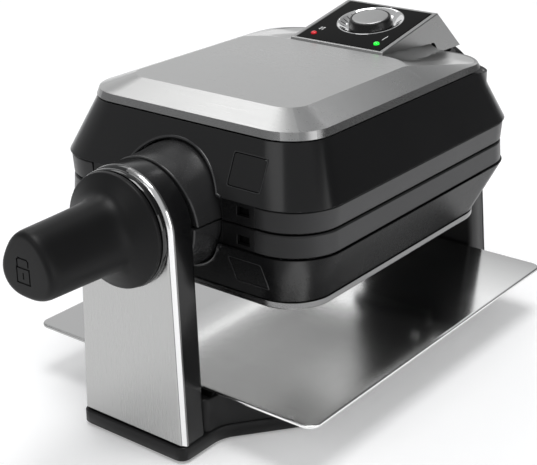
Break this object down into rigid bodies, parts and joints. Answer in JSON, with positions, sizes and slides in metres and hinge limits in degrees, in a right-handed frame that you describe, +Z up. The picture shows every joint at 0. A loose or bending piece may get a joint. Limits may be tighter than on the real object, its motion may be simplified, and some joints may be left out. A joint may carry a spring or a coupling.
{
  "type": "rotating waffle maker",
  "caption": "Rotating waffle maker: hinged two-half body turning between two columns, steel top with dial, grip handle, drip tray and waisted base.",
  "frame": {"origin": "centre of the object's box in X and Y, at the underside of the rubber feet", "axes": "+X right seen from the handle, +Y from the handle to the rear along the turning axis, +Z up"},
  "size_m": [0.2292, 0.421, 0.2225],
  "materials": {
    "gloss_black": "gloss",
    "black_plastic": "satin",
    "soft_touch": "matte",
    "brushed_steel": "satin",
    "satin_frame": "satin",
    "cast_aluminium": "matte",
    "chrome": "polished",
    "machined_steel": "satin",
    "rubber": "matte",
    "panel_black": "gloss",
    "lens_red": "gloss",
    "lens_green": "gloss"
  },
  "bodies": {
    "base": {"base_body": "black_plastic", "base_plate": "black_plastic", "cord_inlet": "rubber", "front_bearing": "machined_steel", "front_column": "black_plastic", "front_column_cover": "brushed_steel", "rear_bearing": "machined_steel", "rear_column": "black_plastic", "rear_column_back": "black_plastic", "rubber_foot_1": "rubber", "rubber_foot_2": "rubber", "rubber_foot_3": "rubber", "rubber_foot_4": "rubber", "tray_pad_1": "rubber", "tray_pad_2": "rubber", "tray_pad_3": "rubber", "tray_pad_4": "rubber"},
    "lower_half": {"lower_casing": "gloss_black", "lower_cover": "brushed_steel", "lower_frame": "satin_frame", "lower_heater": "machined_steel", "lower_hub": "gloss_black", "lower_reflector": "machined_steel", "lower_waffle_plate": "cast_aluminium", "front_shaft": "machined_steel", "handle_collar": "gloss_black", "rear_carrier": "black_plastic", "rear_shaft": "machined_steel", "hinge_pin": "machined_steel"},
    "upper_half": {"upper_casing": "gloss_black", "upper_cover": "brushed_steel", "upper_frame": "satin_frame", "upper_heater": "machined_steel", "upper_hub": "gloss_black", "upper_reflector": "machined_steel", "upper_waffle_plate": "cast_aluminium", "control_panel": "panel_black", "dial_dish": "chrome", "light_red": "lens_red", "light_green": "lens_green", "thermostat": "machined_steel", "hinge_lug": "black_plastic"},
    "handle": {"handle_grip": "soft_touch", "handle_badge": "black_plastic", "lock_bolt": "machined_steel"},
    "dial": {"dial_knob": "black_plastic", "dial_cap": "machined_steel"},
    "tray": {"drip_tray": "brushed_steel"},
    "upper_button": {"upper_release_button": "gloss_black"},
    "lower_button": {"lower_release_button": "gloss_black"},
    "upper_latch": {"upper_plate_latch": "machined_steel"},
    "lower_latch": {"lower_plate_latch": "machined_steel"}
  },
  "joints": [
    {"name": "body_flip", "type": "hinge", "parent": "base", "child": "lower_half", "pos_m": [0, 0, 0.145], "axis": [0, 1, 0], "range_deg": [0, 180]},
    {"name": "lid_open", "type": "hinge", "parent": "lower_half", "child": "upper_half", "pos_m": [0, 0.172, 0.186], "axis": [1, 0, 0], "range_deg": [-90, 0]},
    {"name": "handle_lock", "type": "slide", "parent": "lower_half", "child": "handle", "axis": [0, 1, 0], "range_m": [-0.008, 0]},
    {"name": "dial_turn", "type": "hinge", "parent": "upper_half", "child": "dial", "pos_m": [0, 0.1208, 0.21688], "axis": [0, -0.1894, 0.9819], "range_deg": [-150, 0]},
    {"name": "tray_slide", "type": "slide", "parent": "base", "child": "tray", "axis": [1, 0, 0], "range_m": [0, 0.15]},
    {"name": "upper_release", "type": "slide", "parent": "upper_half", "child": "upper_button", "axis": [0, 0.9169, -0.3992], "range_m": [0, 0.003], "stiffness_N_per_m": 500, "springref_m": -0.002},
    {"name": "lower_release", "type": "slide", "parent": "lower_half", "child": "lower_button", "axis": [0, 0.9169, 0.3992], "range_m": [0, 0.003], "stiffness_N_per_m": 500, "springref_m": -0.002},
    {"name": "upper_latch_draw", "type": "slide", "parent": "upper_half", "child": "upper_latch", "axis": [-1, 0, 0], "range_m": [0, 0.003]},
    {"name": "lower_latch_draw", "type": "slide", "parent": "lower_half", "child": "lower_latch", "axis": [-1, 0, 0], "range_m": [0, 0.003]}
  ],
  "couplings": [
    {"joint": "upper_latch_draw", "follows": "upper_release", "ratio": 1},
    {"joint": "lower_latch_draw", "follows": "lower_release", "ratio": 1}
  ]
}
